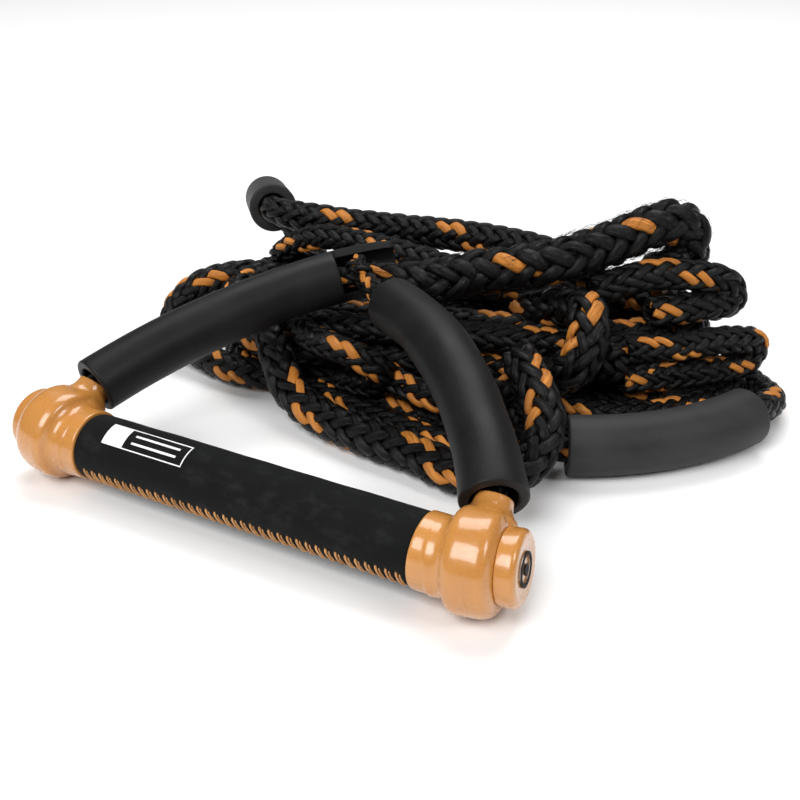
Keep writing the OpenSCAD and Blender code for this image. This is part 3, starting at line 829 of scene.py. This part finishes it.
def plug_profile():
    """The disc: a small lower edge, a round outer edge and a slightly hollow face."""
    edge = [(PLUG_R - PLUG_EDGE * (1 - math.cos(a)), PLUG_TO - PLUG_EDGE * (1 - math.sin(a)))
            for a in np.linspace(0, math.pi / 2, 12)]
    low = [(PLUG_R - PLUG_LOW * (1 - math.sin(a)), PLUG_FROM + PLUG_LOW * (1 - math.cos(a)))
           for a in np.linspace(0, math.pi / 2, 5)]
    flat = PLUG_R - PLUG_EDGE
    face = [(r, PLUG_TO - PLUG_HOLLOW * (1 - (r / flat) ** 2)) for r in np.linspace(flat - 0.3, 0.4, 10)]
    return [(r * MM, z * MM) for r, z in [(12.9, 23.6), (12.9, 25.3)] + low + edge + face]


cap_right = cap_mesh()
verts, faces = lathe(plug_profile(), BEND_AT, AXIS)
plug_right = make_mesh("plug_right_disc", verts, faces, [CAP])
for right, name in ((cap_right, "cap"), (plug_right, "plug")):
    mesh = right.data.copy()
    mesh.transform(Matrix.Diagonal((-1, 1, 1, 1)))
    mesh.flip_normals()
    left = bpy.data.objects.new(right.name.replace("right", "left"), mesh)
    bpy.context.collection.objects.link(left)
    for obj, side in ((right, "right"), (left, "left")):
        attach(obj, "handle")
        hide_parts(f"{name}_{side}")


# ---------------------------------------------------------------- grip skin, seam and print
SEAM = math.radians(-150)
SEAM_PITCH = 4.85 * MM
SEAM_SHIFT = 1.2 * MM
STITCHES = 36
SLANT = math.radians(10)
STITCH_HALF = 5.1 * MM
GRIP_R = 16.0 * MM
GRIP_BORE = 14.6 * MM
GRIP_HALF = 0.09


def stitch_ends():
    """Every stitch's middle along the grip, and how far its ends are from there along and round the grip."""
    x = SEAM_SHIFT + (np.arange(STITCHES) - (STITCHES - 1) / 2) * SEAM_PITCH
    dx, da = math.sin(SLANT) * STITCH_HALF, math.cos(SLANT) * STITCH_HALF / GRIP_R
    return x, dx, da


def on_grip(x, angle, radius):
    """A point on the grip, at an angle about X measured from +Y towards +Z."""
    return np.stack([x, radius * np.cos(angle), radius * np.sin(angle)], axis=-1)


def grip_skin():
    """The skin, with a groove and raised lips at the seam, a dimple at each stitch's end and a soft wave."""
    rows = 420
    x = np.linspace(-GRIP_HALF, GRIP_HALF, rows)
    a = np.linspace(0, 2 * math.pi, 300, endpoint=False)
    near_seam = SEAM % (2 * math.pi) + np.linspace(-0.5, 0.5, 80)
    a = np.unique(np.round(np.r_[a, near_seam], 5))
    sides = len(a)
    X, A = np.meshgrid(x, a, indexing="ij")
    gap = ((A - SEAM + math.pi) % (2 * math.pi) - math.pi) * GRIP_R
    r = np.full_like(X, GRIP_R)
    r -= 0.45 * MM * np.exp(-(gap / (0.55 * MM)) ** 2)
    r += 0.18 * MM * np.exp(-((np.abs(gap) - 2.2 * MM) / (1.2 * MM)) ** 2)
    sx, dx, da = stitch_ends()
    for x0 in sx:
        near = np.abs(X - x0) < 8 * MM
        for way in (-1, 1):
            d2 = (X - x0 - way * dx) ** 2 + (gap - way * da * GRIP_R) ** 2
            r = np.where(near, r - 0.55 * MM * np.exp(-d2 / (0.75 * MM) ** 2), r)
    wave = sum(amp * np.cos(k * A + m * X * 60 + p) for k, m, amp, p in
               [(2, 1, 0.05, 0.3), (3, 2, 0.04, 1.9), (1, 4, 0.05, 4.0), (5, 3, 0.02, 2.2)])
    r += wave * MM
    r -= 0.5 * MM * np.exp(-((GRIP_HALF - np.abs(X)) / (0.8 * MM)) ** 2)
    verts = on_grip(X, A, r).reshape(-1, 3)
    inner = on_grip(X[[0, -1]], A[[0, -1]], np.full((2, sides), GRIP_BORE)).reshape(-1, 3)
    verts = np.vstack([inner[:sides], verts, inner[sides:]])
    obj = make_mesh("grip_skin", verts, loop_faces(rows + 2, sides), [SKIN])
    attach(obj, "handle")
    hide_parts("grip_wrap")


grip_skin()


def threads():
    """Each stitch as two threads side by side, the second one thinner."""
    sx, dx, da = stitch_ends()
    sides, rings = 10, 22
    verts, faces, across, along, pick = [], [], [], [], []
    base = 0
    w = np.linspace(-1, 1, rings)
    phi = np.linspace(0, 2 * math.pi, sides, endpoint=False)
    for x0, thin in [(x, thin) for x in sx for thin in (0, 1)]:
        jig = RNG.normal(0, 0.12, 3)
        reach = 1.04 * (1 - 0.06 * thin)
        lift = GRIP_R + (0.38 - 0.16 * thin + 0.05 * jig[0]) * MM - 1.35 * MM * np.abs(w) ** 7
        path = on_grip(x0 + (1.45 * thin + jig[1] * 0.3) * MM + w * dx * reach,
                       SEAM + w * da * reach + jig[2] * 0.01, lift)
        t = tangents(path)
        out = unit(path * np.array([0, 1, 1]))
        out = unit(out - np.sum(out * t, axis=1)[:, None] * t)
        side = np.cross(t, out)
        wid = (0.62 - 0.22 * thin) * MM * (1 - 0.25 * np.abs(w) ** 3)
        high = (0.48 - 0.14 * thin) * MM
        for i in range(rings):
            twist = 1 + 0.10 * np.cos(2 * phi + w[i] * 9)
            verts.append(path[i] + (wid[i] * np.cos(phi) * twist)[:, None] * side[i]
                         + (high * np.sin(phi) * twist)[:, None] * out[i])
        faces += grid_faces(rings, sides, base).tolist() + end_faces(rings, sides, base)
        across.append(np.tile(np.linspace(0, 1, sides, endpoint=False), rings))
        along.append(np.repeat(w * 3.4 * MM, sides))
        pick.append(np.full(rings * sides, RNG.random()))
        base += rings * sides
    obj = make_mesh("seam_thread", np.vstack(verts), faces, [THREAD], None,
                    {"across": np.concatenate(across) * 0.35, "along": np.concatenate(along),
                     "pick": np.concatenate(pick)})
    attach(obj, "handle")
    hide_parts("seam_stitches")


threads()


def needle_holes_painted_shade():
    """The small hole that each stitch comes out of, as a shallow cup in the skin, coloured darker than the
    skin as painted shade inside the hole.
    """
    sx, dx, da = stitch_ends()
    verts, faces, base = [], [], 0
    sides = 14
    rim = ((0.85, 0.02), (0.62, 0.10), (0.30, 0.06), (0.30, -0.5), (0.85, -0.5))
    phi = np.linspace(0, 2 * math.pi, sides, endpoint=False)
    for x0 in sx:
        cx, ca = x0 - dx * 1.10, SEAM - da * 1.12
        for rad, lift in rim:
            verts.append(on_grip(cx + rad * MM * np.cos(phi), ca + rad * MM * np.sin(phi) / GRIP_R,
                                 np.full(sides, GRIP_R + lift * MM - 0.12 * MM)))
        faces += loop_faces(len(rim), sides, base).tolist()
        base += len(rim) * sides
    obj = make_mesh("needle_hole_rims_painted_shade", np.vstack(verts), faces, [HOLE_PAINTED_SHADE])
    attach(obj, "handle")


needle_holes_painted_shade()


PRINT_RISE, PRINT_SINK = 0.16 * MM, 0.25 * MM


def patch(name, pieces, material, node_name):
    """Thin printed shapes that follow the grip: each is (x0, x1, a0, a1) in millimetres and degrees."""
    verts, faces, base = [], [], 0
    for x0, x1, a0, a1 in pieces:
        nx, na = max(int(x1 - x0), 1) + 1, max(int((a1 - a0) / 2.0), 1) + 1
        X, A = np.meshgrid(np.linspace(x0, x1, nx) * MM, np.radians(np.linspace(a0, a1, na)), indexing="ij")
        top = on_grip(X, A, np.full_like(X, GRIP_R + PRINT_RISE)).reshape(-1, 3)
        low = on_grip(X, A, np.full_like(X, GRIP_R - PRINT_SINK)).reshape(-1, 3)
        n = nx * na
        verts += [top, low]
        i, j = np.meshgrid(np.arange(nx - 1), np.arange(na - 1), indexing="ij")
        corner = i * na + j
        q = np.stack([corner, corner + na, corner + na + 1, corner + 1], axis=-1).reshape(-1, 4)
        faces += (q + base).tolist() + (q[:, ::-1] + base + n).tolist()
        rim = [k * na for k in range(nx)] + [(nx - 1) * na + k for k in range(1, na)]
        rim += [k * na + na - 1 for k in range(nx - 2, -1, -1)] + list(range(na - 2, 0, -1))
        for a, b in zip(rim, rim[1:] + rim[:1]):
            faces.append([base + b, base + a, base + n + a, base + n + b])
        base += 2 * n
    obj = make_mesh(name, np.vstack(verts), faces, [material])
    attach(obj, "handle")
    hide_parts(node_name)


def badge():
    """A plain outlined panel with a filled block and two bars: no lettering and no mark."""
    x0, x1, a0, a1 = -75.0, -28.0, 92.0, 135.0
    line = 0.55
    turn = math.degrees(line * MM / GRIP_R)
    outline = [(x0, x1, a0, a0 + turn), (x0, x1, a1 - turn, a1),
               (x0, x0 + line, a0 + turn, a1 - turn), (x1 - line, x1, a0 + turn, a1 - turn)]
    bars = [(x0 + line, x0 + 12, a0 + turn, a1 - turn), (x0 + 16, x1 - 5, a0 + 12, a0 + 16),
            (x0 + 16, x1 - 5, a1 - 16, a1 - 12)]
    patch("badge_panel", outline + bars, PRINT, "grip_badge")


badge()


# ---------------------------------------------------------------- CAD pieces that stay
for name, material in {"bar_tube": METAL, "bar_foam_core": CORE, "emblem_left": INK, "emblem_right": INK,
                       "knot_washer_left": STEEL, "knot_washer_right": STEEL}.items():
    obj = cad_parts[name]
    obj.data.materials.clear()
    obj.data.materials.append(material)


# ---------------------------------------------------------------- knots and splices
def knot_path(centre, size, axis):
    """A trefoil knot about an axis."""
    axis = unit(axis)
    side = unit(np.cross([0.3, 0.1, 1.0], axis))
    other = np.cross(axis, side)
    a = np.linspace(0.15, 2 * math.pi - 0.15, 150)[:, None]
    r = size * (1 + 0.45 * np.cos(3 * a))
    x, y, z = r * np.cos(2 * a), r * np.sin(2 * a), 0.55 * size * np.sin(3 * a)
    return resample(centre + x * side + y * other + z * axis, 1.2 * MM)


def small_braid(name, path, radius, body, node_name, **look):
    """A short stretch of rope that stays on one body, standing for one CAD node."""
    obj = braid(name, path, radius, **look)
    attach(obj, body)
    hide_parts(node_name)


YOKE = np.array([-0.0265, 0.147, 0.0535])
KNOT_LOOK = {"carriers": 4, "pitch": 3.4, "thick": 0.26}
small_braid("yoke_splice", knot_path(YOKE, 5.6 * MM, [0.6, 0.5, 0.6]), 3.6 * MM, "rope", "yoke_knot",
            tracer=(0,), **KNOT_LOOK)
for side, sign in (("left", -1), ("right", 1)):
    centre = BULB * np.array([sign, 1, 1])
    direction = NECK_DIR * np.array([sign, 1, 1])
    small_braid(f"bridle_end_knot_{side}", knot_path(centre, 5.0 * MM, direction), 3.2 * MM, "handle",
                f"bridle_knot_{side}", sides=6, **KNOT_LOOK)
    stub = resample([centre + 9 * MM * direction, centre + 15.5 * MM * direction], STEP)
    small_braid(f"bridle_stub_{side}_rope", stub, 5.8 * MM, "handle", f"bridle_stub_{side}", sides=6)

SPLICE = on_floor([(114, 187, 35), (90, 180, 35)])
small_braid("eye_splice_rope", resample(SPLICE, STEP), 12.5 * MM, "rope", "eye_splice",
            pitch=3.0, thick=0.2, taper=(0.012, 0.012), loose=0.3)


# ---------------------------------------------------------------- floor and light
FLOOR_HALF = 6.0
WORLD_STRENGTH = 0.16
AIM = np.array([0.0, 0.09, 0.0])


def stage_floor():
    m, tree, bsdf = new_material("studio_floor")
    place = node(tree, "ShaderNodeTexCoord").outputs["Object"]
    soft = noise(tree, place, 2.0)
    colour = ramp(tree, soft.outputs[0], [(0.2, grey(0.91)), (0.8, grey(0.92))])
    tree.links.new(colour.outputs[0], bsdf.inputs["Base Color"])
    bsdf.inputs["Roughness"].default_value = 0.7
    corners = [(x * FLOOR_HALF, y * FLOOR_HALF, FLOOR) for x, y in ((-1, -1), (1, -1), (1, 1), (-1, 1))]
    obj = make_mesh("studio_floor", corners, [[0, 1, 2, 3]], [m])


def area_light(name, azimuth, elevation, distance, size, size_y, power):
    """A soft rectangle that looks at the object from that direction and distance."""
    az, el = math.radians(azimuth), math.radians(elevation)
    back = np.array([math.sin(az) * math.cos(el), -math.cos(az) * math.cos(el), math.sin(el)])
    data = bpy.data.lights.new(name, "AREA")
    data.energy = power
    data.shape = "RECTANGLE"
    data.size = size
    data.size_y = size_y
    obj = bpy.data.objects.new(name, data)
    bpy.context.collection.objects.link(obj)
    obj.location = AIM + distance * back
    side = unit(np.cross([0, 0, 1.0], back))
    obj.rotation_euler = Matrix(np.stack([side, np.cross(back, side), back], axis=1).tolist()).to_euler()


stage_floor()
area_light("key_light", -6, 46, 3.6, 2.5, 2.0, 118.0)
area_light("side_light", 84, 40, 3.4, 1.1, 1.3, 34.0)
area_light("top_light", 200, 62, 4.2, 3.4, 2.2, 120.0)
world = bpy.data.worlds.new("studio")
bpy.context.scene.world = world
world.use_nodes = True
world.node_tree.nodes["Background"].inputs[0].default_value = (1, 1, 1, 1)
world.node_tree.nodes["Background"].inputs[1].default_value = WORLD_STRENGTH
bpy.context.scene.view_settings.view_transform = "Standard"
